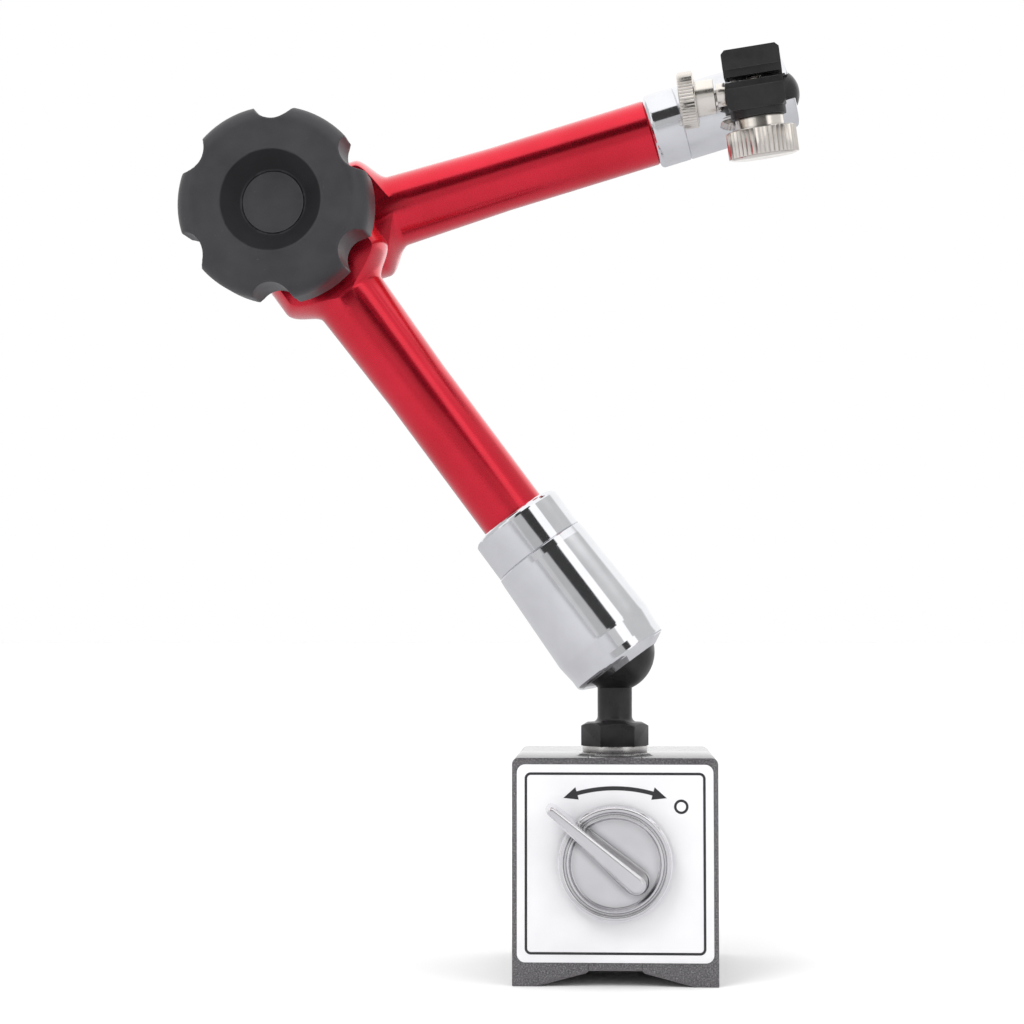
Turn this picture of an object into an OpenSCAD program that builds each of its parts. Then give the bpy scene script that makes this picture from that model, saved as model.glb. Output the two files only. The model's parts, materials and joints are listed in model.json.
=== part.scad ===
// Articulated magnetic-base holder: switchable magnetic base, two arms on ball joints,
// one central clamping knob, and a swivelling jaw clamp for a gauge.
// Frame: origin at the centre of the base's footprint, +Z up, +Y away from the switch face.

/* [Base] */
// Width of the magnetic base
base_w = 50; // [48:0.5:56]
// Depth of the magnetic base
base_d = 60; // [54:0.5:70]
// Height of the magnetic base
base_h = 55; // [54:0.5:60]
// Width of the non-magnetic centre strip
core_w = 12.8; // [10:0.1:14]
// Height of the switch axis above the foot
dial_z = 29.8; // [28:0.1:31]
// Diameter of the magnet's bore
rotor_bore_d = 26; // [22:0.5:27]
// Diameter of the switch disc
dial_d = 27.8; // [26:0.2:32]
// Side of the square face plate
plate_w = 47.6; // [42:0.1:47.6]

/* [Lower ball stud] */
// Height of the lower ball's centre above the foot
ball_z = 80.6; // [80:0.1:90]
// Radius of the lower ball
ball_r = 10.25; // [9.5:0.05:10.25]
// Radius of the stud's neck
neck_r = 4.4; // [3.8:0.1:4.6]
// Width across the flats of the stud's hexagon
hex_af = 15; // [13:0.5:17]

/* [Arms] */
// Lean of the lower arm from vertical at rest
lower_lean = 36.65; // [0:0.05:37]
// Rise of the upper arm above horizontal at rest
upper_rise = 16.2; // [-20:0.1:60]
// Turn of the arms' plane about the stud at rest
arm_yaw = 3; // [0:0.5:90]
// Distance from the pivot to the collar on each arm
arm_len = 96; // [90:0.5:160]
// Radius of the arm's tube at its slim end
tube_r = 8.75; // [8.5:0.05:9]
// Radius of the arm's turned head
head_r = 16.2; // [15.5:0.1:17]
// Thickness of the arm's head across its two flats
head_t = 18.8; // [18.2:0.1:18.8]
// Distance between the two arms' planes
arm_gap = 19.2; // [19.2:0.1:20]

/* [Knobs] */
// Radius of the hinge knob over its lobes
knob_r = 24.4; // [22:0.1:27]
// Number of lobes on the hinge knob
knob_lobes = 6; // [5:1:8]
// Diameter of the clamp's knurled nut
nut_d = 18.3; // [16:0.1:18.6]
// Diameter of the clamp's thumb wheel
wheel_d = 14.7; // [12:0.1:14.8]

/* [Gauge clamp] */
// Width of the jaw block
jaw_w = 15; // [14:0.1:16]
// Height of the jaw block
jaw_h = 15.6; // [15:0.1:17]
// Gap between the two jaws
jaw_gap = 1.3; // [1.2:0.1:1.6]
// Turn of the clamp against the upper arm, seen along its stud
clamp_roll = -8.5; // [-10:0.5:0]
// Angle of the clamp's stud past square to the upper arm
stud_over = 4; // [0:0.5:4]

/* [Hidden] */
$fn = 96;

run = 0.05;              // running clearance
snug = 0.02;             // clearance between fixed pieces
far = 200;               // longer than any piece a cut passes through

// base
corner_r = 1.6;          // round on the base's long top edges
foot_in = 19;            // inner edge of each foot
vee_half = 7;            // half width of the shallow V at its top
vee_h = 3.2;
relief_h = 3.8;          // height of the flat between the poles
bush_t = 4;
plug_t = 3;
magnet_r = rotor_bore_d / 2 - run;
spindle_r = 5;
plate_t = 0.5;
plate_corner = 2;
dial_t = 4.4;
dial_front = -base_d / 2 - plate_t - 0.1 - dial_t;
dial_floor = 1.2;        // depth of the disc's recessed face
handle_t = 6.5;          // how far the handle stands out of the disc
handle_angle = 139.5;
pin_y = dial_front + 2.6;
switch_pin_r = 0.75;
thread_r = 4;
thread_len = 9;
washer_r = 8.25;
washer_t = 1.6;
hex_h = 6;

// lower joint, measured along the arm from the ball's centre
lip_z = -4.5;
dish_in = ball_r + run;
dish_out = dish_in + 0.9;
cup_seat = dish_out + run;
cavity_r = cup_seat + run;
dish_angle = 50;
cup_bore_r = 8.1;
cup_r = cup_bore_r - 0.1;
cup_top = 19.3;
tenon_bot = 22;
seam_z = 32;
collar_top = 43.3;
tenon_len = 12;          // tenon of each collar in its arm
tenon_r = 7;
lower_len = collar_top + arm_len;
rod_r = 2.5;
rod_bore_r = 2.6;
rod_tip = 7.1;           // centre of each rod's round tip from the hinge axis

// hinge, measured along its axis from the lower arm's plane
flat_y = head_t / 2;
bolt_r = 5;
bolt_bore_r = bolt_r + run;
bolt_end_r = 4;
waist_r = 3.4;
waist_front = -3;        // slim end of each conical waist, from its arm's plane
waist_back = 2;
washer_back = -flat_y - 1.6;
knob_front = -35.3;
knob_wide = 5.3;         // from the knob's face to its widest ring
knob_rim = 15.3;         // from the knob's face to the back of its rim
hub_back = washer_back - run;
hub_r = 9.5;
face_r = 19.7;           // outer edge of the knob's flat face
recess_r = 12.8;
cap_r = 7.7;
recess_t = 4;
insert_r = 6.5;

// upper joint, measured along the arm from the pivot
uball_z = 130;
uball_r = 7;
pad_in = uball_r + run;
pad_out = pad_in + 0.7;
ucup_seat = pad_out + run;
ucavity_r = ucup_seat + run;
pad_angle = 24;
pad_turn = 62.5;
usleeve_r = 10;
useam = 104.5;
uend = 134.6;
ucup_r = 5.4;
ucup_bore_r = 5.5;
ucup_bot = 116;
utenon_end = 112;
slot_roll = 7;
slot_half = 3.25;
slot_back = 1.25;        // centre of the slot's round end, behind the ball's centre
uneck_r = 3;

// clamp, in its own frame: origin at the upper ball, +X across the jaws, +Z along the stud
block_x = -4.4;
block_y = 2.95;
block_z0 = 11.3;
block_z1 = 24.3;
split_y = block_y + 0.3;
block_cut = 1;           // cut corners of the block
pin_r = 2;
pin_end = 21;
screw_z = 16.8;
screw_r = 2;
wheel_z = 20.6;
shank_r = 1.5;
groove_t = 1.8;
groove_open = 2.4;
groove_wide = 3.44;
boss_r = 7.2;
boss_h = 1.8;
nut_neck = 9.65;         // start of the nut's neck below the block's centre
nut_neck_r = 6.25;
nut_top = 12.7;
nut_bot = 20;
guide_x = -5;
guide_z = 13.5;
guide_r = 1.2;

// ---- frames ----
module lower_frame() {
    translate([0, 0, ball_z]) rotate([0, 0, -arm_yaw]) rotate([0, -lower_lean, 0]) children();
}

module pivot_frame() {
    lower_frame() translate([0, 0, lower_len]) rotate([0, lower_lean, 0]) children();
}

module upper_frame() {
    pivot_frame() translate([0, arm_gap, 0]) rotate([0, 90 - upper_rise, 0]) children();
}

module stud_frame() {
    upper_frame() translate([0, 0, uball_z]) rotate([0, 0, slot_roll])
        rotate([90 + stud_over, 0, 0]) children();
}

module clamp_frame() {
    stud_frame() rotate([0, 0, 90 + clamp_roll]) children();
}

// ---- shared shapes ----
function arc(cx, cy, r, a0, a1, n = 8) =
    [for (i = [0:n]) let (a = a0 + (a1 - a0) * i / n) [cx + r * cos(a), cy + r * sin(a)]];

function waist(y) = [[bolt_r, y + waist_front], [waist_r, y + waist_front], [bolt_r, y + waist_back]];

module along_y(y0, y1, r) {
    translate([0, y0, 0]) rotate([-90, 0, 0]) cylinder(r = r, h = y1 - y0);
}

module along_x(x0, x1, r) {
    translate([x0, 0, 0]) rotate([0, 90, 0]) cylinder(r = r, h = x1 - x0);
}

module ring(r_in, r_out, y0, y1) {
    difference() {
        along_y(y0, y1, r_out);
        along_y(y0 - 1, y1 + 1, r_in);
    }
}

module shell_cap(r_in, r_out, half_angle) {
    rotate_extrude()
        polygon(concat(arc(0, 0, r_out, 90, 90 - half_angle, 16),
                       arc(0, 0, r_in, 90 - half_angle, 90, 16)));
}

module half_ball(r) {
    intersection() {
        sphere(r = r);
        translate([-2 * r, -2 * r, 0]) cube([4 * r, 4 * r, 2 * r]);
    }
}

// straight-knurled wheel with a plain land at both edges
module knurled(d, h, teeth, depth, land) {
    union() {
        translate([0, 0, land]) linear_extrude(h - 2 * land)
            polygon([for (i = [0:2 * teeth - 1]) let (a = 180 * i / teeth, r = d / 2 - (i % 2) * depth)
                     [r * cos(a), r * sin(a)]]);
        cylinder(r = d / 2 - depth - 0.1, h = h);
    }
}

// ---- magnetic base ----
module base_outline() {
    polygon(concat([[-base_w / 2, 0], [-foot_in, 0], [-vee_half, vee_h], [-core_w / 2, relief_h],
                    [core_w / 2, relief_h], [vee_half, vee_h], [foot_in, 0], [base_w / 2, 0]],
                   arc(base_w / 2 - corner_r, base_h - corner_r, corner_r, 0, 90),
                   arc(corner_r - base_w / 2, base_h - corner_r, corner_r, 90, 180)));
}

module base_slice(x0, x1) {
    difference() {
        intersection() {
            translate([0, base_d / 2, 0]) rotate([90, 0, 0]) linear_extrude(base_d) base_outline();
            translate([x0, -base_d, -1]) cube([x1 - x0, 2 * base_d, base_h + 2]);
        }
        translate([0, 0, dial_z]) along_y(-base_d, base_d, rotor_bore_d / 2);
    }
}

module pole_left() {
    color("dimgray") base_slice(-base_w, -core_w / 2);
}

module pole_right() {
    color("dimgray") base_slice(core_w / 2, base_w);
}

module base_core() {
    color("dimgray") difference() {
        base_slice(-core_w / 2, core_w / 2);
        translate([0, 0, base_h - thread_len]) cylinder(r = thread_r, h = thread_len + 1);
    }
}

module face_plate() {
    e = plate_w / 2 - plate_corner;
    color("whitesmoke") difference() {
        translate([0, -base_d / 2, dial_z - 0.2]) rotate([90, 0, 0]) linear_extrude(plate_t)
            polygon(concat(arc(e, e, plate_corner, 0, 90), arc(-e, e, plate_corner, 90, 180),
                           arc(-e, -e, plate_corner, 180, 270), arc(e, -e, plate_corner, 270, 360)));
        translate([0, 0, dial_z]) along_y(-base_d, 0, spindle_r + 0.2);
    }
}

module front_bush() {
    color("goldenrod") translate([0, 0, dial_z])
        ring(spindle_r + run, rotor_bore_d / 2 - snug, -base_d / 2, -base_d / 2 + bush_t);
}

module rear_plug() {
    color("dimgray") translate([0, 0, dial_z])
        along_y(base_d / 2 - plug_t, base_d / 2, rotor_bore_d / 2 - snug);
}

module magnet_rotor() {
    color("slategray") translate([0, 0, dial_z])
        ring(spindle_r + snug, magnet_r, -base_d / 2 + bush_t + 0.1, base_d / 2 - plug_t - 0.1);
}

module pin_hole(r) {
    translate([0, pin_y, 0]) rotate([0, 90 - handle_angle, 0])
        translate([0, 0, -8]) cylinder(r = r, h = 16);
}

module rotor_spindle() {
    color("silver") translate([0, 0, dial_z]) difference() {
        along_y(dial_front + 1.6, base_d / 2 - plug_t - 0.2, spindle_r);
        pin_hole(switch_pin_r + snug);
    }
}

// ---- magnet switch ----
// one section of the handle: wide rounded end, narrow tip, straight flanks
module handle_slab(z, wide, tip, x_end, x_tip) {
    translate([0, 0, z]) linear_extrude(0.3) hull() {
        translate([x_end + wide, 0]) circle(r = wide, $fn = 24);
        translate([x_tip - tip, 0]) circle(r = tip, $fn = 16);
    }
}

module switch_knob() {
    rim = dial_d / 2;
    color("silver") translate([0, 0, dial_z]) difference() {
        rotate([90, 0, 0]) translate([0, 0, -dial_front - dial_t]) union() {
            rotate_extrude() polygon([[0, 0], [rim, 0], [rim, dial_t - 1], [rim - 0.5, dial_t],
                [rim - 1.3, dial_t], [rim - 1.6, dial_t - 0.5], [rim - 2, dial_t - 0.5],
                [rim - 2.3, dial_t - 0.1], [rim - 2.7, dial_t - 0.1], [rim - 3.2, dial_t - dial_floor],
                [0, dial_t - dial_floor]]);
            rotate([0, 0, handle_angle]) hull() {
                handle_slab(dial_t - dial_floor - 0.2, 3.1, 1.5, -9.6, 21.6);
                handle_slab(dial_t + handle_t - 1.2, 2.3, 1.1, -8.9, 21);
                handle_slab(dial_t + handle_t - 0.3, 1.7, 0.7, -8.1, 20.5);
            }
        }
        along_y(dial_front + 1.6 - snug, 0, spindle_r + snug);
        pin_hole(switch_pin_r + snug);
    }
}

module switch_pin() {
    color("gray") translate([0, 0, dial_z]) pin_hole(switch_pin_r);
}

// ---- lower ball stud ----
module stud_washer() {
    color("silver") translate([0, 0, base_h]) difference() {
        cylinder(r = washer_r, h = washer_t);
        translate([0, 0, -1]) cylinder(r = thread_r + 0.2, h = washer_t + 2);
    }
}

module lower_ball_stud() {
    hex_z = base_h + washer_t;
    hex_corner = hex_af / sqrt(3);
    color("#202022") union() {
        translate([0, 0, base_h - thread_len]) cylinder(r = thread_r - snug, h = thread_len + washer_t + 1);
        translate([0, 0, hex_z]) intersection() {
            rotate([0, 0, 5]) cylinder(r = hex_corner, h = hex_h, $fn = 6);
            rotate_extrude() polygon([[0, -1], [hex_corner + 2, -1],
                [hex_corner + 2, hex_h - 2.1], [hex_corner - 3.2, hex_h + 0.9], [0, hex_h + 0.9]]);
        }
        translate([0, 0, hex_z]) rotate_extrude() polygon(concat([[0, 1], [neck_r + 1.5, 1]],
            arc(neck_r + 1.5, hex_h + 1.5, 1.5, 270, 180),
            [[neck_r, ball_z - hex_z - ball_r / 2], [0, ball_z - hex_z - ball_r / 2]]));
        translate([0, 0, ball_z]) sphere(r = ball_r);
    }
}

// ---- lower joint ----
module lower_friction_dish() {
    color("dimgray") translate([0, 0, ball_z]) shell_cap(dish_in, dish_out, dish_angle);
}

module lower_push_cup() {
    color("goldenrod") lower_frame() difference() {
        cylinder(r = cup_r, h = cup_top);
        sphere(r = cup_seat);
    }
}

module lower_sleeve() {
    color("gainsboro") lower_frame() difference() {
        rotate_extrude() polygon(concat([[0, lip_z], [9.6, lip_z], [12.6, lip_z + 1.5]],
            arc(12.1, -1.8, 1.2, 300, 360), [[13.3, 0], [13.83, 4.6], [13.83, 5.2], [12.9, 29.9],
            [12.75, seam_z - 0.25], [12.5, seam_z], [0, seam_z]]));
        half_ball(cavity_r);
        sphere(r = ball_r + run);
        cylinder(r = cup_bore_r, h = tenon_bot);
        translate([0, 0, tenon_bot - 1]) cylinder(r = cup_bore_r, h = far);
    }
}

module lower_collar() {
    color("gainsboro") lower_frame() difference() {
        rotate_extrude() polygon(concat([[0, tenon_bot], [cup_r, tenon_bot], [cup_r, seam_z],
            [12.35, seam_z], [12.6, seam_z + 0.25]],
            arc(12.6 - 1.6, collar_top - 1.6, 1.6, 0, 90),
            [[tenon_r - snug, collar_top], [tenon_r - snug, collar_top + tenon_len - 0.1],
             [0, collar_top + tenon_len - 0.1]]));
        translate([0, 0, tenon_bot - 1]) cylinder(r = rod_bore_r, h = far);
    }
}

// ---- arms: one turned bar with a flatted head, used twice; z runs out from the pivot ----
module arm_bar() {
    z0 = head_r + 1.4;       // start and end of the S-curve shoulder
    z1 = z0 + 7.4;
    shoulder_r = tube_r + 0.8;
    difference() {
        intersection() {
            rotate_extrude() polygon(concat([[0, -head_r], [head_r, -head_r]],
                [for (i = [0:12]) let (t = i / 12) [head_r - (head_r - shoulder_r)
                    * (1 - cos(180 * t)) / 2, z0 + (z1 - z0) * t]],
                [[tube_r, 54], [tube_r, arm_len - 0.3], [tube_r - 0.3, arm_len], [0, arm_len]]));
            union() {
                translate([-head_r - 1, -flat_y, 0]) cube([2 * head_r + 2, head_t, far]);
                along_y(-flat_y, flat_y, head_r);
            }
        }
        along_y(-head_r, head_r, bolt_bore_r);
        cylinder(r = rod_bore_r, h = far);
        translate([0, 0, arm_len - tenon_len]) cylinder(r = tenon_r, h = far);
    }
}

module lower_arm() {
    color("crimson") lower_frame() translate([0, 0, lower_len]) rotate([180, 0, 0]) arm_bar();
}

module upper_arm() {
    color("crimson") upper_frame() arm_bar();
}

module rod(z_end) {
    union() {
        translate([0, 0, rod_tip]) sphere(r = rod_r);
        translate([0, 0, rod_tip]) cylinder(r = rod_r, h = z_end - rod_tip);
    }
}

module lower_push_rod() {
    color("darkgray") lower_frame() translate([0, 0, lower_len]) rotate([180, 0, 0])
        rod(lower_len - cup_top - 0.1);
}

module upper_push_rod() {
    color("darkgray") upper_frame() rod(ucup_bot - 0.1);
}

// ---- hinge ----
module hinge_bolt() {
    head_y = arm_gap + flat_y + run;
    color("silver") pivot_frame() rotate([-90, 0, 0]) rotate_extrude() polygon(concat(
        [[0, knob_front + 7.3], [bolt_end_r, knob_front + 7.3], [bolt_end_r, -flat_y - 0.1],
         [bolt_r, -flat_y - 0.1]], waist(0), waist(arm_gap),
        [[bolt_r, head_y], [2 * bolt_r, head_y], [2 * bolt_r, head_y + 3.2],
         [2 * bolt_r - 0.8, head_y + 4], [0, head_y + 4]]));
}

module hinge_friction_disc() {
    color("ivory") pivot_frame()
        ring(bolt_r + 0.3, head_r - 1.2, flat_y + run, arm_gap - flat_y - run);
}

module hinge_washer() {
    color("silver") pivot_frame() ring(bolt_r + 0.2, hub_r + 0.3, washer_back, -flat_y - snug);
}

module knob_outline() {
    difference() {
        circle(r = knob_r);
        for (i = [0:knob_lobes - 1])
            rotate([0, 0, (i + 0.5) * 360 / knob_lobes]) translate([knob_r + 1.6, 0]) circle(r = 5.5);
    }
}

module hinge_knob() {
    hub_len = hub_back - knob_front;
    crown = knob_r - face_r;
    color("#26262a") pivot_frame() translate([0, knob_front, 0]) rotate([-90, 0, 0]) difference() {
        union() {
            intersection() {
                linear_extrude(knob_rim) knob_outline();
                rotate_extrude() polygon(concat([[0, 0], [face_r, 0]],
                    [for (i = [1:9]) [face_r + crown * sin(10 * i), knob_wide * (1 - cos(10 * i))]],
                    [[knob_r - 0.2, knob_rim - 1.4], [knob_r - 1.4, knob_rim], [0, knob_rim]]));
            }
            cylinder(r = hub_r, h = hub_len);
        }
        rotate_extrude() polygon([[0, -1], [recess_r + 1.2, -1], [recess_r, 0], [cap_r + 0.4, recess_t],
                                  [0, recess_t]]);
        cylinder(r = cap_r, h = recess_t + 1.1);
        translate([0, 0, recess_t]) cylinder(r = insert_r, h = far);
        translate([0, 0, knob_rim - 8]) difference() {
            cylinder(r = face_r - 2.2, h = 9);
            translate([0, 0, -1]) cylinder(r = hub_r, h = 11);
        }
    }
}

module knob_insert() {
    front = knob_front + recess_t + 1.2;
    color("goldenrod") pivot_frame() difference() {
        along_y(front, hub_back - 0.2, insert_r - snug);
        along_y(front + 0.8, hub_back + 1, bolt_end_r + run);
    }
}

module knob_cap() {
    color("#2c2c30") pivot_frame()
        along_y(knob_front + recess_t, knob_front + recess_t + 1, cap_r - snug);
}

// ---- upper joint ----
module upper_sleeve() {
    color("gainsboro") upper_frame() difference() {
        rotate_extrude() polygon(concat([[0, useam], [usleeve_r - 0.2, useam],
            [usleeve_r, useam + 0.2]], arc(usleeve_r - 1.2, uend - 1.2, 1.2, 0, 90), [[0, uend]]));
        translate([0, 0, uball_z]) rotate([180, 0, 0]) half_ball(ucavity_r);
        translate([0, 0, uball_z]) sphere(r = uball_r + run);
        translate([0, 0, useam - 1]) cylinder(r = ucup_bore_r, h = uball_z - useam + 1);
        translate([0, 0, uball_z]) rotate([0, 0, slot_roll]) union() {
            translate([0, 0, -slot_back]) rotate([90, 0, 0]) cylinder(r = slot_half, h = 14);
            translate([-slot_half, -14, -slot_back]) cube([2 * slot_half, 14, 12]);
        }
    }
}

module upper_collar() {
    color("gainsboro") upper_frame() difference() {
        rotate_extrude() polygon(concat([[0, arm_len - tenon_len + 0.1],
            [tenon_r - snug, arm_len - tenon_len + 0.1], [tenon_r - snug, arm_len]],
            arc(usleeve_r - 1.4, arm_len + 1.4, 1.4, 270, 360),
            [[usleeve_r, useam - 0.2], [usleeve_r - 0.2, useam], [ucup_bore_r - snug, useam],
             [ucup_bore_r - snug, utenon_end], [0, utenon_end]]));
        cylinder(r = rod_bore_r, h = far);
    }
}

module upper_push_cup() {
    color("goldenrod") upper_frame() difference() {
        translate([0, 0, ucup_bot]) cylinder(r = ucup_r, h = uball_z - ucup_bot);
        translate([0, 0, uball_z]) sphere(r = ucup_seat);
    }
}

module upper_seat_pad() {
    color("dimgray") upper_frame() translate([0, 0, uball_z]) rotate([0, 0, slot_roll])
        rotate([pad_turn + 180, 0, 0]) shell_cap(pad_in, pad_out, pad_angle);
}

module upper_ball_stud() {
    color("#202022") stud_frame() union() {
        sphere(r = uball_r);
        cylinder(r = uneck_r, h = block_z0 - 0.1);
        cylinder(r = pin_r, h = pin_end);
    }
}

// ---- gauge clamp ----
module jaw_block() {
    x = jaw_w / 2;
    y = jaw_h / 2;
    c = block_cut;
    translate([block_x, block_y, block_z0]) linear_extrude(block_z1 - block_z0)
        polygon([[-x, c - y], [c - x, -y], [x - c, -y], [x, c - y], [x, y - c], [x - c, y],
                 [c - x, y], [-x, y - c]]);
}

module groove_cut() {
    translate([block_x - 20, split_y, 0]) rotate([90, 0, 90]) linear_extrude(40)
        polygon([[-groove_wide, block_z1 - groove_t], [-groove_open, block_z1 + 0.01],
                 [groove_open, block_z1 + 0.01], [groove_wide, block_z1 - groove_t]]);
}

// z runs down from the block's centre towards the nut
module screw_axis() {
    translate([block_x, block_y, screw_z]) rotate([90, 0, 0]) children();
}

module guide(r, y0, y1) {
    translate([block_x + guide_x, block_y + y0, guide_z]) rotate([-90, 0, 0])
        cylinder(r = r, h = y1 - y0);
}

module clamp_body() {
    color("#1c1c1f") clamp_frame() difference() {
        union() {
            intersection() {
                jaw_block();
                translate([block_x - 20, split_y - jaw_gap / 2 - 40, 0]) cube([40, 40, 40]);
            }
            intersection() {
                screw_axis() translate([0, 0, jaw_h / 2 - 1]) cylinder(r = boss_r, h = boss_h + 1);
                translate([block_x - 20, block_y - 20, block_z0]) cube([40, 40, 40]);
            }
        }
        groove_cut();
        screw_axis() translate([0, 0, -20]) cylinder(r = screw_r + run, h = 40);
        cylinder(r = pin_r + run, h = pin_end + 0.4);
        translate([0, 0, wheel_z]) along_x(block_x - 20, 0, shank_r + run);
        guide(guide_r + snug, -5, 5);
    }
}

module clamp_jaw() {
    color("#1c1c1f") clamp_frame() difference() {
        intersection() {
            jaw_block();
            translate([block_x - 20, split_y + jaw_gap / 2, 0]) cube([40, 20, 40]);
        }
        groove_cut();
        screw_axis() translate([0, 0, -7]) cylinder(r = screw_r + run, h = 20);
        guide(guide_r + run, 0, 6.4);
    }
}

module jaw_guide_pin() {
    color("silver") clamp_frame() guide(guide_r, -4.9, 5.2);
}

module clamp_screw() {
    color("silver") clamp_frame() screw_axis() translate([0, 0, -6])
        cylinder(r = screw_r, h = 6 + nut_bot - 1);
}

module clamp_nut() {
    color("silver") clamp_frame() screw_axis() difference() {
        union() {
            translate([0, 0, nut_top]) knurled(nut_d, nut_bot - nut_top, 44, 0.5, 0.3);
            translate([0, 0, nut_neck]) cylinder(r = nut_neck_r, h = nut_top - nut_neck + 2);
        }
        translate([0, 0, nut_neck - 1]) cylinder(r = screw_r + snug, h = nut_bot - nut_neck + 0.1);
    }
}

module thumb_screw() {
    color("silver") clamp_frame() translate([block_x, 0, wheel_z]) union() {
        translate([-19.5, 0, 0]) rotate([0, 90, 0]) knurled(wheel_d, 4.2, 52, 0.35, 0.3);
        along_x(-16, -10.5, 4.5);
        along_x(-9.9, -jaw_w / 2 - 0.1, 3);
        along_x(-16, -block_x - pin_r - 0.1, shank_r);
    }
}

pole_left();
pole_right();
base_core();
face_plate();
front_bush();
rear_plug();
magnet_rotor();
rotor_spindle();
switch_knob();
switch_pin();
stud_washer();
lower_ball_stud();
lower_friction_dish();
lower_push_cup();
lower_sleeve();
lower_collar();
lower_arm();
lower_push_rod();
hinge_bolt();
hinge_friction_disc();
hinge_washer();
hinge_knob();
knob_insert();
knob_cap();
upper_arm();
upper_push_rod();
upper_collar();
upper_sleeve();
upper_push_cup();
upper_seat_pad();
upper_ball_stud();
clamp_body();
clamp_jaw();
jaw_guide_pin();
clamp_screw();
clamp_nut();
thumb_screw();
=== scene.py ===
import json
import math

import bmesh
import bpy
from mathutils import Matrix, Vector

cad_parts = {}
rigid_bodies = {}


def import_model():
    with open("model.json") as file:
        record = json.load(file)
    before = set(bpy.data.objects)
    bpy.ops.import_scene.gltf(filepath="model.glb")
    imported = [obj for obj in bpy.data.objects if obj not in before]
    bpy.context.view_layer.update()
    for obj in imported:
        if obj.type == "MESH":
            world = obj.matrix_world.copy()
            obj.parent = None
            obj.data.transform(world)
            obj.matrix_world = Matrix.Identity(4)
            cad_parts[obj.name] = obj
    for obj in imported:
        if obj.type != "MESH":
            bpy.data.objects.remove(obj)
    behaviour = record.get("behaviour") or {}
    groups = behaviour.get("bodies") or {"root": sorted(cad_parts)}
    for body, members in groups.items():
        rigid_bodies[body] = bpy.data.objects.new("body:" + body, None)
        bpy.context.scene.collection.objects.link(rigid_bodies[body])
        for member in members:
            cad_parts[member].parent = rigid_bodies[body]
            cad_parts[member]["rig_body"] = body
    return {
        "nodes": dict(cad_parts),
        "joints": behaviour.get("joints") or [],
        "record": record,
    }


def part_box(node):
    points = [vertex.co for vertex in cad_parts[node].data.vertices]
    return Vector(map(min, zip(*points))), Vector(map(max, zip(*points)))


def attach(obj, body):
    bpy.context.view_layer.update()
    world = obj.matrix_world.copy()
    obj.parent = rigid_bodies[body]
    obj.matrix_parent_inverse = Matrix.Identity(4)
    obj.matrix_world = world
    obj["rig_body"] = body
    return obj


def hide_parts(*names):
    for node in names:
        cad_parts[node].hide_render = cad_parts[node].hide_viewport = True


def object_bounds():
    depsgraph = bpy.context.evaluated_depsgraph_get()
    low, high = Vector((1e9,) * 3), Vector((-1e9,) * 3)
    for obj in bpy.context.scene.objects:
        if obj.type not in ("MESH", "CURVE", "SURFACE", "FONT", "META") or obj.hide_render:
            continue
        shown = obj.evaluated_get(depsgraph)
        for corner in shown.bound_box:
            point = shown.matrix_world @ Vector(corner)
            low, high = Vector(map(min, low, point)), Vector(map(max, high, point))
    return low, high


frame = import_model()
cad_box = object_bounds()
record = frame["record"]
nodes = frame["nodes"]
joints = {j["name"]: j for j in frame["joints"]}
MM = 0.001


# ---- places and directions read from the frame ----
def joint_point(name):
    return Vector(joints[name]["pos_m"])


def joint_axis(name):
    return Vector(joints[name]["axis"]).normalized()


LOWER_AXIS = joint_axis("arm_spin")
KNOB_POINT = joint_point("knob_turn")
HINGE_AXIS = joint_axis("knob_turn")
UPPER_AXIS = -joint_axis("upper_rod_slide")
NUT_AXIS = joint_axis("jaw_knob_turn")


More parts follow.
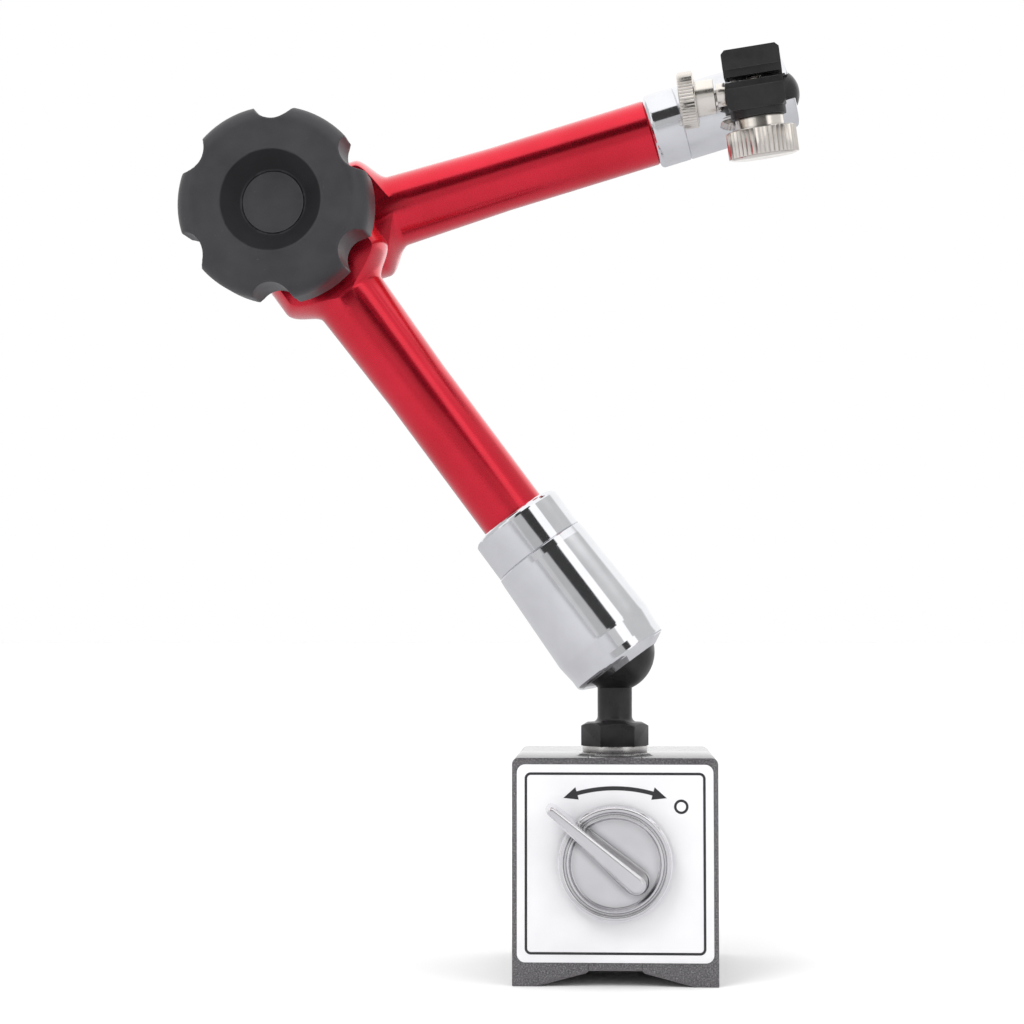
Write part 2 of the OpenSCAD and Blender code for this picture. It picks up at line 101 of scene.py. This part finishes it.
# ---- small helpers for node materials ----
class Shader:
    """A material's node tree, with one short call per node."""

    def __init__(self, name, **principled):
        self.material = bpy.data.materials.new(name)
        self.material.use_nodes = True
        self.tree = self.material.node_tree
        self.bsdf = self.tree.nodes["Principled BSDF"]
        for socket, value in principled.items():
            self.set(socket.replace("_", " "), value)
        coords = self.add("ShaderNodeTexCoord")
        scaled = self.add("ShaderNodeVectorMath", operation="SCALE")
        scaled.inputs["Scale"].default_value = 1 / MM
        self.link(coords.outputs["Object"], scaled.inputs[0])
        self.mm = scaled.outputs[0]
        self.normal = None

    def add(self, kind, **settings):
        node = self.tree.nodes.new(kind)
        for key, value in settings.items():
            setattr(node, key, value)
        return node

    def link(self, a, b):
        self.tree.links.new(a, b)

    def set(self, socket, value):
        target = self.bsdf.inputs[socket]
        if isinstance(value, bpy.types.NodeSocket):
            self.link(value, target)
        elif isinstance(value, (tuple, list)):
            target.default_value = (*value, 1) if len(value) == 3 else value
        else:
            target.default_value = value

    def distance_along(self, axis):
        """How far each point lies along the axis, in millimetres."""
        dot = self.add("ShaderNodeVectorMath", operation="DOT_PRODUCT")
        self.link(self.mm, dot.inputs[0])
        dot.inputs[1].default_value = Vector(axis)
        return dot.outputs["Value"]

    def noise(self, scale, detail=3, rough=0.55, along=None):
        """Noise with about `scale` cells a millimetre; along is an axis for noise in rings about it."""
        if along is not None:
            node = self.add("ShaderNodeTexNoise", noise_dimensions="1D")
            self.link(self.distance_along(along), node.inputs["W"])
        else:
            node = self.add("ShaderNodeTexNoise")
            self.link(self.mm, node.inputs["Vector"])
        node.inputs["Scale"].default_value = scale
        node.inputs["Detail"].default_value = detail
        node.inputs["Roughness"].default_value = rough
        return node.outputs[0]

    def cells(self, scale, feature="F1"):
        node = self.add("ShaderNodeTexVoronoi", feature=feature)
        self.link(self.mm, node.inputs["Vector"])
        node.inputs["Scale"].default_value = scale
        return node.outputs["Distance"]

    def ramp(self, value, *stops):
        """Each stop is (position, grey) or (position, (r, g, b))."""
        node = self.add("ShaderNodeValToRGB")
        self.link(value, node.inputs[0])
        elements = node.color_ramp.elements
        while len(elements) < len(stops):
            elements.new(0.5)
        for element, (place, colour) in zip(elements, stops):
            element.position = place
            element.color = (*colour, 1) if isinstance(colour, tuple) else (colour, colour, colour, 1)
        return node.outputs[0]

    def range(self, value, low, high, at=(0.3, 0.7)):
        node = self.add("ShaderNodeMapRange")
        self.link(value, node.inputs[0])
        for socket, number in zip(node.inputs[1:5], (*at, low, high)):
            socket.default_value = number
        return node.outputs[0]

    def maths(self, operation, a, b=0.0):
        node = self.add("ShaderNodeMath", operation=operation)
        for socket, value in zip(node.inputs, (a, b)):
            if isinstance(value, bpy.types.NodeSocket):
                self.link(value, socket)
            else:
                socket.default_value = value
        return node.outputs[0]

    def mix(self, factor, a, b):
        node = self.add("ShaderNodeMix", data_type="RGBA")
        for socket, value in zip((node.inputs[0], node.inputs[6], node.inputs[7]), (factor, a, b)):
            if isinstance(value, bpy.types.NodeSocket):
                self.link(value, socket)
            elif isinstance(value, tuple):
                socket.default_value = (*value, 1)
            else:
                socket.default_value = value
        return node.outputs[2]

    def bump(self, height, depth_mm, strength=1.0):
        node = self.add("ShaderNodeBump")
        self.link(height, node.inputs["Height"])
        node.inputs["Distance"].default_value = depth_mm * MM
        node.inputs["Strength"].default_value = strength
        if self.normal is not None:
            self.link(self.normal, node.inputs["Normal"])
        self.normal = node.outputs[0]
        self.link(self.normal, self.bsdf.inputs["Normal"])

    def edges(self, radius_mm):
        """1 on sharp edges, where paint and plating wear, and 0 on faces."""
        bevel = self.add("ShaderNodeBevel", samples=4)
        bevel.inputs["Radius"].default_value = radius_mm * MM
        geometry = self.add("ShaderNodeNewGeometry")
        dot = self.add("ShaderNodeVectorMath", operation="DOT_PRODUCT")
        self.link(bevel.outputs[0], dot.inputs[0])
        self.link(geometry.outputs["Normal"], dot.inputs[1])
        return self.range(dot.outputs["Value"], 1, 0, at=(0.8, 0.99))


# ---- materials ----
def hammertone():
    s = Shader("hammertone_enamel", Metallic=0.35, Coat_Weight=1.0, Coat_Roughness=0.14, Coat_IOR=1.6)
    speck = s.noise(2.6, detail=4, rough=0.7)
    mottle = s.noise(0.5, detail=2)
    base = s.ramp(speck, (0.36, (0.050, 0.047, 0.050)), (0.52, (0.108, 0.102, 0.108)),
                  (0.68, (0.27, 0.26, 0.27)))
    shade = s.range(mottle, 0.86, 1.1)
    tinted = s.add("ShaderNodeVectorMath", operation="SCALE")
    s.link(base, tinted.inputs[0])
    s.link(shade, tinted.inputs["Scale"])
    worn = s.maths("MULTIPLY", s.edges(0.35), s.range(s.noise(0.9, detail=5), 0, 0.5, at=(0.5, 0.7)))
    s.set("Base Color", s.mix(worn, tinted.outputs[0], (0.33, 0.32, 0.32)))
    s.set("Roughness", s.range(speck, 0.34, 0.56))
    s.bump(s.cells(1.7, "SMOOTH_F1"), 0.05, 0.5)
    s.bump(speck, 0.02, 0.5)
    return s.material


def plate_white():
    s = Shader("satin_white_plate", Metallic=0.0, Coat_Weight=0.25, Coat_Roughness=0.2)
    grain = s.noise(6, detail=3)
    cloud = s.noise(0.06, detail=3)
    s.set("Base Color", s.ramp(cloud, (0.3, (0.70, 0.695, 0.715)), (0.7, (0.76, 0.755, 0.775))))
    s.set("Roughness", s.range(grain, 0.33, 0.47))
    s.bump(grain, 0.004, 0.4)
    return s.material


def printed_ink():
    s = Shader("printed_ink")
    grain = s.noise(9, detail=4)
    s.set("Base Color", s.ramp(grain, (0.3, (0.010, 0.010, 0.012)), (0.75, (0.035, 0.034, 0.038))))
    s.set("Roughness", s.range(grain, 0.35, 0.5))
    return s.material


def plated(name, colour, rough, ripple=0.0, smudge=0.04, axis=None, grain=0.0, crevice_shade_mm=0.0):
    """Polished or cast plated metal: ripple is its low waviness in mm, grain its fine texture in mm; the
    last argument is how far, in mm, painted shade reaches into hollows.
    """
    s = Shader(name, Metallic=1.0)
    cloud = s.noise(0.11, detail=4)
    fine = s.noise(5, detail=3)
    dim = tuple(0.9 * c for c in colour)
    skin = s.ramp(cloud, (0.3, dim), (0.68, colour))
    # painted shade: hollows and creases are darkened in colour towards near-black, the more so the less
    # open space surrounds them
    if crevice_shade_mm:
        shade = s.add("ShaderNodeAmbientOcclusion", samples=6)
        shade.inputs["Distance"].default_value = crevice_shade_mm * MM
        open_sky = s.range(shade.outputs["AO"], 0.25, 1, at=(0.45, 0.95))
        skin = s.mix(open_sky, (0.05, 0.05, 0.055), skin)
    s.set("Base Color", skin)
    rough_value = s.range(cloud, rough, rough + smudge)
    if axis is not None:
        rings = s.noise(9, detail=2, along=axis)
        rough_value = s.maths("ADD", rough_value, s.range(rings, 0, 0.05))
        s.bump(rings, 0.0012, 0.5)
    s.set("Roughness", rough_value)
    if ripple:
        s.bump(s.noise(0.16, detail=1), ripple, 0.6)
    if grain:
        s.bump(fine, grain, 0.6)
    return s.material


def red_anodised(name, axis):
    s = Shader(name, Metallic=1.0, Coat_Weight=0.7, Coat_Roughness=0.15, Coat_IOR=1.45)
    rings = s.noise(5.5, detail=3, rough=0.65, along=axis)
    cloud = s.noise(0.07, detail=3)
    s.set("Base Color", s.ramp(cloud, (0.3, (0.68, 0.010, 0.030)), (0.7, (0.78, 0.015, 0.042))))
    s.set("Roughness", s.maths("ADD", s.range(rings, 0.20, 0.29), s.range(s.noise(0.5), 0, 0.04)))
    s.set("Anisotropic", 0.35)
    s.bump(rings, 0.0035, 0.6)
    return s.material


RECESS_SHADE_RADII = (13.0, 13.8)  # mm from the knob's axis, where the painted shade on the recess walls ends


def black_plastic():
    s = Shader("moulded_black_plastic")
    grain = s.noise(4.2, detail=3, rough=0.6)
    cloud = s.noise(0.12, detail=4)
    dust = s.ramp(s.noise(1.7, detail=2, rough=0.4), (0.74, 0.0), (0.80, 1.0))
    skin = s.ramp(cloud, (0.3, (0.024, 0.0235, 0.026)), (0.7, (0.034, 0.033, 0.037)))
    worn = s.maths("MULTIPLY", s.edges(0.8), 0.25)
    speckled = s.mix(s.maths("MULTIPLY", dust, 0.25), skin, (0.16, 0.16, 0.17))
    coords = s.add("ShaderNodeTexCoord")
    facing = s.add("ShaderNodeVectorMath", operation="DOT_PRODUCT")
    s.link(coords.outputs["Normal"], facing.inputs[0])
    facing.inputs[1].default_value = HINGE_AXIS
    offset = s.add("ShaderNodeVectorMath", operation="SUBTRACT")
    s.link(s.mm, offset.inputs[0])
    offset.inputs[1].default_value = KNOB_POINT / MM
    turned = s.add("ShaderNodeVectorMath", operation="CROSS_PRODUCT")
    s.link(offset.outputs[0], turned.inputs[0])
    turned.inputs[1].default_value = HINGE_AXIS
    radius = s.add("ShaderNodeVectorMath", operation="LENGTH")
    s.link(turned.outputs[0], radius.inputs[0])
    # painted shade: the sloped walls of the knob's recess are darkened in colour and made less reflective,
    # on top of the shade their shape gives
    sloped = s.range(s.maths("ABSOLUTE", facing.outputs["Value"]), 1, 0, at=(0.80, 0.985))
    recess_shade = s.maths("MULTIPLY", sloped, s.range(radius.outputs["Value"], 1, 0, at=RECESS_SHADE_RADII))
    body = s.mix(worn, speckled, (0.10, 0.10, 0.11))
    s.set("Base Color", s.mix(s.maths("MULTIPLY", recess_shade, 0.62), body, (0.004, 0.004, 0.0045)))
    s.set("Specular IOR Level", s.range(recess_shade, 0.42, 0.12, at=(0, 1)))
    s.set("Roughness", s.maths("ADD", s.range(cloud, 0.40, 0.50), s.range(grain, -0.04, 0.06)))
    s.bump(grain, 0.018, 0.5)
    return s.material


def black_oxide(name, rough, grain_mm, scale):
    s = Shader(name, Metallic=0.4)
    grain = s.noise(scale, detail=3, rough=0.6)
    cloud = s.noise(0.25, detail=3)
    skin = s.ramp(cloud, (0.3, (0.016, 0.0155, 0.016)), (0.7, (0.028, 0.0265, 0.027)))
    worn = s.maths("MULTIPLY", s.edges(0.25), s.range(s.noise(1.1, detail=4), 0.05, 0.45))
    s.set("Base Color", s.mix(worn, skin, (0.17, 0.165, 0.16)))
    s.set("Roughness", s.maths("ADD", s.range(cloud, rough, rough + 0.12), s.range(grain, -0.03, 0.05)))
    s.bump(grain, grain_mm, 0.6)
    return s.material


def machined(name, colour, rough, axis=(0, 1, 0), metallic=1.0):
    s = Shader(name, Metallic=metallic)
    rings = s.noise(7, detail=2, along=axis)
    cloud = s.noise(0.2, detail=4)
    dim = tuple(0.75 * c for c in colour)
    s.set("Base Color", s.ramp(cloud, (0.3, dim), (0.7, colour)))
    s.set("Roughness", s.maths("ADD", s.range(cloud, rough, rough + 0.12), s.range(rings, 0, 0.06)))
    s.bump(rings, 0.004, 0.7)
    return s.material


def friction_liner():
    s = Shader("acetal_liner")
    grain = s.noise(3, detail=3)
    s.set("Base Color", s.ramp(grain, (0.3, (0.48, 0.45, 0.36)), (0.7, (0.56, 0.53, 0.43))))
    s.set("Roughness", s.range(grain, 0.4, 0.55))
    s.bump(grain, 0.01, 0.4)
    return s.material


MATERIALS = {
    "hammertone": hammertone(),
    "plate": plate_white(),
    "bronze": machined("bearing_bronze", (0.50, 0.32, 0.13), 0.28),
    "magnet": machined("sintered_magnet", (0.10, 0.10, 0.105), 0.55, metallic=0.6),
    "bright_steel": machined("bright_steel", (0.60, 0.59, 0.58), 0.18, HINGE_AXIS),
    # painted shade in hollows: reaching 2.2 mm on the switch and 0.8 mm on the knurled nut below
    "switch_chrome": plated("cast_switch_chrome", (0.86, 0.85, 0.87), 0.15, ripple=0.05,
                            smudge=0.08, grain=0.006, crevice_shade_mm=2.2),
    "black_steel": black_oxide("black_oxide_steel", 0.26, 0.003, 5),
    "friction_steel": machined("friction_steel", (0.28, 0.28, 0.29), 0.4, (0, 0, 1)),
    "chrome": plated("polished_chrome", (0.80, 0.805, 0.83), 0.045, ripple=0.015, smudge=0.05),
    "friction_liner": friction_liner(),
    "knob_black": black_plastic(),
    "black_block": black_oxide("black_oxide_block", 0.42, 0.012, 3.5),
    "nickel": plated("knurled_nickel", (0.88, 0.83, 0.77), 0.16, smudge=0.1, grain=0.004, crevice_shade_mm=0.8),
}
MATERIALS["knob_cap_black"] = MATERIALS["knob_black"]
RED = {"lower_arm": red_anodised("red_anodised_lower", LOWER_AXIS),
       "upper_arm": red_anodised("red_anodised_upper", UPPER_AXIS)}
SLOT_OF = {part["node"]: part["material_slot"] for part in record["subparts"]}
INK = printed_ink()


def give(obj, material):
    obj.data.materials.clear()
    obj.data.materials.append(material)


for name, obj in nodes.items():
    give(obj, RED[name] if name in RED else MATERIALS[SLOT_OF[name]])


# ---- rounded edges on turned and milled CAD nodes ----
def apply_modifiers(obj):
    graph = bpy.context.evaluated_depsgraph_get()
    mesh = bpy.data.meshes.new_from_object(obj.evaluated_get(graph))
    obj.modifiers.clear()
    obj.data = mesh


def copy_of(node, name):
    """A new piece with the node's mesh, its split edges joined."""
    mesh = bpy.data.meshes.new(name)
    bm = bmesh.new()
    bm.from_mesh(nodes[node].data)
    bmesh.ops.remove_doubles(bm, verts=bm.verts, dist=0.002 * MM)
    bmesh.ops.dissolve_degenerate(bm, edges=bm.edges, dist=0.001 * MM)
    bm.to_mesh(mesh)
    bm.free()
    obj = bpy.data.objects.new(name, mesh)
    bpy.context.scene.collection.objects.link(obj)
    give(obj, nodes[node].data.materials[0])
    return obj


def stand_for(obj, node):
    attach(obj, nodes[node]["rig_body"])
    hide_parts(node)
    return obj


def smooth(obj, angle_deg=35):
    """Smooth shading, with edges above the angle kept sharp."""
    bm = bmesh.new()
    bm.from_mesh(obj.data)
    for face in bm.faces:
        face.smooth = True
    for edge in bm.edges:
        edge.smooth = len(edge.link_faces) == 2 and edge.calc_face_angle(0) < math.radians(angle_deg)
    bm.to_mesh(obj.data)
    bm.free()


def rounded(node, width_mm, segments=2, angle_deg=32):
    """A copy of the node with its sharp edges rounded."""
    obj = copy_of(node, node + "_finish")
    planar = obj.modifiers.new("planar", "DECIMATE")
    planar.decimate_type = "DISSOLVE"
    planar.angle_limit = math.radians(0.6)
    bevel = obj.modifiers.new("edge", "BEVEL")
    bevel.width = width_mm * MM
    bevel.segments = segments
    bevel.limit_method = "ANGLE"
    bevel.angle_limit = math.radians(angle_deg)
    bevel.use_clamp_overlap = True
    bevel.harden_normals = False
    bevel.miter_outer = "MITER_ARC"
    apply_modifiers(obj)
    smooth(obj, 28)
    return stand_for(obj, node)


def moulded(node, voxel_mm, rounds, factor=0.5):
    """A copy of the node with cast or moulded soft edges: remeshed finely, then relaxed."""
    obj = copy_of(node, node + "_finish")
    remesh = obj.modifiers.new("voxels", "REMESH")
    remesh.mode = "VOXEL"
    remesh.voxel_size = voxel_mm * MM
    remesh.adaptivity = 0
    relax = obj.modifiers.new("relax", "SMOOTH")
    relax.factor = factor
    relax.iterations = rounds
    apply_modifiers(obj)
    for polygon in obj.data.polygons:
        polygon.use_smooth = True
    give(obj, nodes[node].data.materials[0])
    return stand_for(obj, node)


KNOB_VOXEL = 0.3
SWITCH_VOXEL = 0.16
moulded("hinge_knob", KNOB_VOXEL, 4)
moulded("switch_knob", SWITCH_VOXEL, 6)
for name, width in {"pole_left": 0.25, "pole_right": 0.25, "base_core": 0.05, "face_plate": 0.08,
                    "lower_arm": 0.3, "upper_arm": 0.3, "lower_ball_stud": 0.15, "stud_washer": 0.15,
                    "clamp_body": 0.12, "clamp_jaw": 0.12, "clamp_nut": 0.07, "thumb_screw": 0.06,
                    "hinge_bolt": 0.15, "upper_sleeve": 0.12, "knob_cap": 0.1}.items():
    rounded(name, width)


# ---- printed marks on the face plate ----
PLATE_LOW, PLATE_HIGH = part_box("face_plate")
PLATE_MID = (PLATE_LOW + PLATE_HIGH) / 2
INK_THICK = 0.03 * MM
INK_FRONT = PLATE_LOW.y - INK_THICK / 2


def ink(name, loops):
    """A thin printed shape: each loop is a closed outline of (x, z) points in millimetres about
    the plate's centre, and loops after the first cut holes."""
    curve = bpy.data.curves.new(name, "CURVE")
    curve.dimensions = "2D"
    curve.fill_mode = "BOTH"
    curve.extrude = INK_THICK / 2
    for loop in loops:
        spline = curve.splines.new("POLY")
        spline.points.add(len(loop) - 1)
        for point, (x, z) in zip(spline.points, loop):
            point.co = (x * MM, z * MM, 0, 1)
        spline.use_cyclic_u = True
    temp = bpy.data.objects.new(name + "_curve", curve)
    bpy.context.scene.collection.objects.link(temp)
    mesh = bpy.data.meshes.new_from_object(temp.evaluated_get(bpy.context.evaluated_depsgraph_get()))
    bpy.data.objects.remove(temp)
    place = Matrix.Translation((PLATE_MID.x, INK_FRONT, PLATE_MID.z)) @ Matrix.Rotation(math.pi / 2, 4, "X")
    mesh.transform(place)
    mesh.name = name
    obj = bpy.data.objects.new(name, mesh)
    bpy.context.scene.collection.objects.link(obj)
    give(obj, INK)
    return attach(obj, "magnetic_base")


def arc_points(cx, cz, radius, start_deg, end_deg, steps=16):
    angles = [math.radians(start_deg + (end_deg - start_deg) * i / steps) for i in range(steps + 1)]
    return [(cx + radius * math.cos(a), cz + radius * math.sin(a)) for a in angles]


def rounded_square(half, corner):
    e = half - corner
    points = []
    for quarter, (sx, sz) in enumerate([(1, 1), (-1, 1), (-1, -1), (1, -1)]):
        points += arc_points(sx * e, sz * e, corner, 90 * quarter, 90 * quarter + 90, 8)
    return points


def curved_arrow(tip_half, tip_z, top_z, line, head_long, head_wide):
    """A shallow arc with an arrowhead at both ends, its centre on the plate's middle line."""
    rise = top_z - tip_z
    radius = (tip_half ** 2 + rise ** 2) / (2 * rise)
    centre = top_z - radius
    half_angle = math.degrees(math.asin(tip_half / radius))
    neck = half_angle - math.degrees(head_long / radius)

    def polar(angle, r):
        a = math.radians(90 - angle)
        return (r * math.cos(a), centre + r * math.sin(a))

    outer = arc_points(0, centre, radius + line / 2, 90 + neck, 90 - neck, 32)
    inner = arc_points(0, centre, radius - line / 2, 90 - neck, 90 + neck, 32)
    right = [polar(neck, radius + head_wide / 2), polar(half_angle, radius),
             polar(neck, radius - head_wide / 2)]
    left = [polar(-neck, radius - head_wide / 2), polar(-half_angle, radius),
            polar(-neck, radius + head_wide / 2)]
    return outer + right + inner + left


BORDER_HALF = 21.9
BORDER_LINE = 0.62
ink("plate_border", [rounded_square(BORDER_HALF, 1.5),
                     rounded_square(BORDER_HALF - BORDER_LINE, 1.5 - BORDER_LINE)])
ink("plate_arrow", [curved_arrow(12.5, 15.75, 18.1, 1.0, 3.5, 3.1)])
ink("plate_ring_mark", [arc_points(16.0, 13.7, 1.75, 0, 360, 40)[:-1],
                        arc_points(16.0, 13.7, 1.15, 0, 360, 40)[:-1]])


# ---- screw thread seen in the slit between the jaws ----
def threaded_rod(name, start, axis, length, radius, pitch, depth):
    """A rod with a helical V thread, made as one grid of turns."""
    around, rows = 36, int(length / pitch * 10)
    z = axis.normalized()
    x = z.orthogonal().normalized()
    y = z.cross(x)
    bm = bmesh.new()
    grid = []
    for i in range(rows + 1):
        t = length * i / rows
        ring = []
        for k in range(around):
            turn = (t / pitch - k / around) % 1
            r = radius - depth * abs(2 * turn - 1)
            a = 2 * math.pi * k / around
            ring.append(bm.verts.new(start + z * t + (x * math.cos(a) + y * math.sin(a)) * r))
        grid.append(ring)
    for low, high in zip(grid, grid[1:]):
        for k in range(around):
            n = (k + 1) % around
            bm.faces.new((low[k], low[n], high[n], high[k]))
    bm.faces.new(list(reversed(grid[0])))
    bm.faces.new(grid[-1])
    mesh = bpy.data.meshes.new(name)
    bm.to_mesh(mesh)
    bm.free()
    obj = bpy.data.objects.new(name, mesh)
    bpy.context.scene.collection.objects.link(obj)
    give(obj, MATERIALS["nickel"])
    for polygon in mesh.polygons:
        polygon.use_smooth = True
    return obj


SCREW_LOW, SCREW_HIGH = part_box("clamp_screw")
SCREW_MID = (SCREW_LOW + SCREW_HIGH) / 2
SCREW_RADIUS = 2 * MM
SCREW_HALF = 12.5 * MM
screw = threaded_rod("clamp_screw_thread", SCREW_MID - NUT_AXIS * SCREW_HALF, NUT_AXIS,
                     2 * SCREW_HALF, SCREW_RADIUS, 0.7 * MM, 0.32 * MM)
stand_for(screw, "clamp_screw")


# ---- floor, light and camera ----
ROOM_LEVEL = 0.68  # what reflections see between the patches
SOFT_FILL = 1.07  # even light that reaches matt surfaces; reflections see the patches below


def world_light():
    world = bpy.data.worlds.new("studio")
    bpy.context.scene.world = world
    world.use_nodes = True
    tree = world.node_tree
    tree.nodes.clear()

    def add(kind, **settings):
        node = tree.nodes.new(kind)
        for key, value in settings.items():
            setattr(node, key, value)
        return node

    def maths(operation, a, b=0.0):
        node = add("ShaderNodeMath", operation=operation)
        for socket, value in zip(node.inputs, (a, b)):
            if isinstance(value, bpy.types.NodeSocket):
                tree.links.new(value, socket)
            else:
                socket.default_value = value
        return node.outputs[0]

    def band(value, low, high, soft):
        """1 between low and high, falling to 0 over soft degrees outside."""
        up = add("ShaderNodeMapRange", interpolation_type="SMOOTHSTEP")
        down = add("ShaderNodeMapRange", interpolation_type="SMOOTHSTEP")
        for node, numbers in ((up, (low - soft, low, 0, 1)), (down, (high, high + soft, 1, 0))):
            tree.links.new(value, node.inputs[0])
            for socket, number in zip(node.inputs[1:5], numbers):
                socket.default_value = number
        return maths("MULTIPLY", up.outputs[0], down.outputs[0])

    coords = add("ShaderNodeTexCoord")
    split = add("ShaderNodeSeparateXYZ")
    tree.links.new(coords.outputs["Generated"], split.inputs[0])
    x, y, z = split.outputs
    degrees = 180 / math.pi
    side = maths("MULTIPLY", maths("ARCTAN2", x, maths("MULTIPLY", y, -1)), degrees)
    height = maths("MULTIPLY", maths("ARCSINE", z), degrees)

    level = ROOM_LEVEL
    patches = [  # (side low, side high, height low, height high, softness, brightness)
        (128, 180, -6, 44, 10, 1.15),        # white backdrop, right half
        (-180, -128, -6, 44, 10, 1.15),      # white backdrop, left half
        (-180, 180, 47, 95, 6, 1.2),         # overhead diffuser
        (31, 50, -12, 47, 2, 1.3),          # softbox to the right of the camera
        (-60, -40, -12, 47, 3, 1.1),         # softbox to the left
        (-24, 28, 16, 43, 2, 0.05),          # dark room above the camera
        (-8, 14, -1, 14, 2, 0.55),           # camera and stand
        (-16, -8, -9, -1, 1.5, 1.3),         # bright card below the camera
    ]
    for side_low, side_high, low, high, soft, bright in patches:
        mask = band(height, low, high, soft)
        if side_high - side_low < 360:
            mask = maths("MULTIPLY", mask, band(side, side_low, side_high, soft))
        keep = maths("MULTIPLY", level, maths("SUBTRACT", 1, mask))
        level = maths("ADD", keep, maths("MULTIPLY", mask, bright))

    path = add("ShaderNodeLightPath")
    level = maths("MULTIPLY", level, path.outputs["Is Glossy Ray"])
    to_camera = maths("MULTIPLY", path.outputs["Is Camera Ray"], SOFT_FILL - 1)
    even = maths("MULTIPLY", maths("SUBTRACT", 1, path.outputs["Is Glossy Ray"]),
                 maths("SUBTRACT", SOFT_FILL, to_camera))
    seen = maths("ADD", level, even)
    background = add("ShaderNodeBackground")
    background.inputs["Color"].default_value = (1, 1, 1, 1)
    tree.links.new(seen, background.inputs["Strength"])
    output = add("ShaderNodeOutputWorld")
    tree.links.new(background.outputs[0], output.inputs[0])


def area_light(name, place, target, size, watts):
    light = bpy.data.lights.new(name, "AREA")
    light.size = size
    light.energy = watts
    obj = bpy.data.objects.new(name, light)
    obj.location = place
    obj.rotation_euler = (Vector(target) - Vector(place)).to_track_quat("-Z", "Y").to_euler()
    obj.visible_glossy = False
    bpy.context.scene.collection.objects.link(obj)


def floor():
    mesh = bpy.data.meshes.new("floor")
    half = 40.0
    low = cad_box[0][2] - 0.02 * MM
    corners = [(-half, -half, low), (half, -half, low), (half, half, low), (-half, half, low)]
    mesh.from_pydata(corners, [], [(0, 1, 2, 3)])
    obj = bpy.data.objects.new("floor", mesh)
    bpy.context.scene.collection.objects.link(obj)
    s = Shader("pale_floor", Roughness=0.7)
    path = s.add("ShaderNodeLightPath")
    pale = s.ramp(s.noise(0.02), (0.3, 0.92), (0.7, 0.95))
    s.set("Base Color", s.mix(path.outputs["Is Glossy Ray"], pale, (0.52, 0.52, 0.535)))
    give(obj, s.material)


world_light()
area_light("key", (-0.5, -0.7, 0.9), (0, 0, 0.12), 0.5, 5)
area_light("fill", (0.8, -0.5, 0.6), (0, 0, 0.12), 0.8, 2.5)
floor()

camera_data = bpy.data.cameras.new("camera")
camera_data.lens = 79.3
camera_data.sensor_width = 36
camera_data.clip_start = 0.01
camera = bpy.data.objects.new("camera", camera_data)
camera.location = (0.0, -0.580, 0.084)
camera.rotation_euler = (math.radians(93.2), 0, math.radians(2.6))
bpy.context.scene.collection.objects.link(camera)
bpy.context.scene.camera = camera
bpy.context.scene.view_settings.view_transform = "Standard"
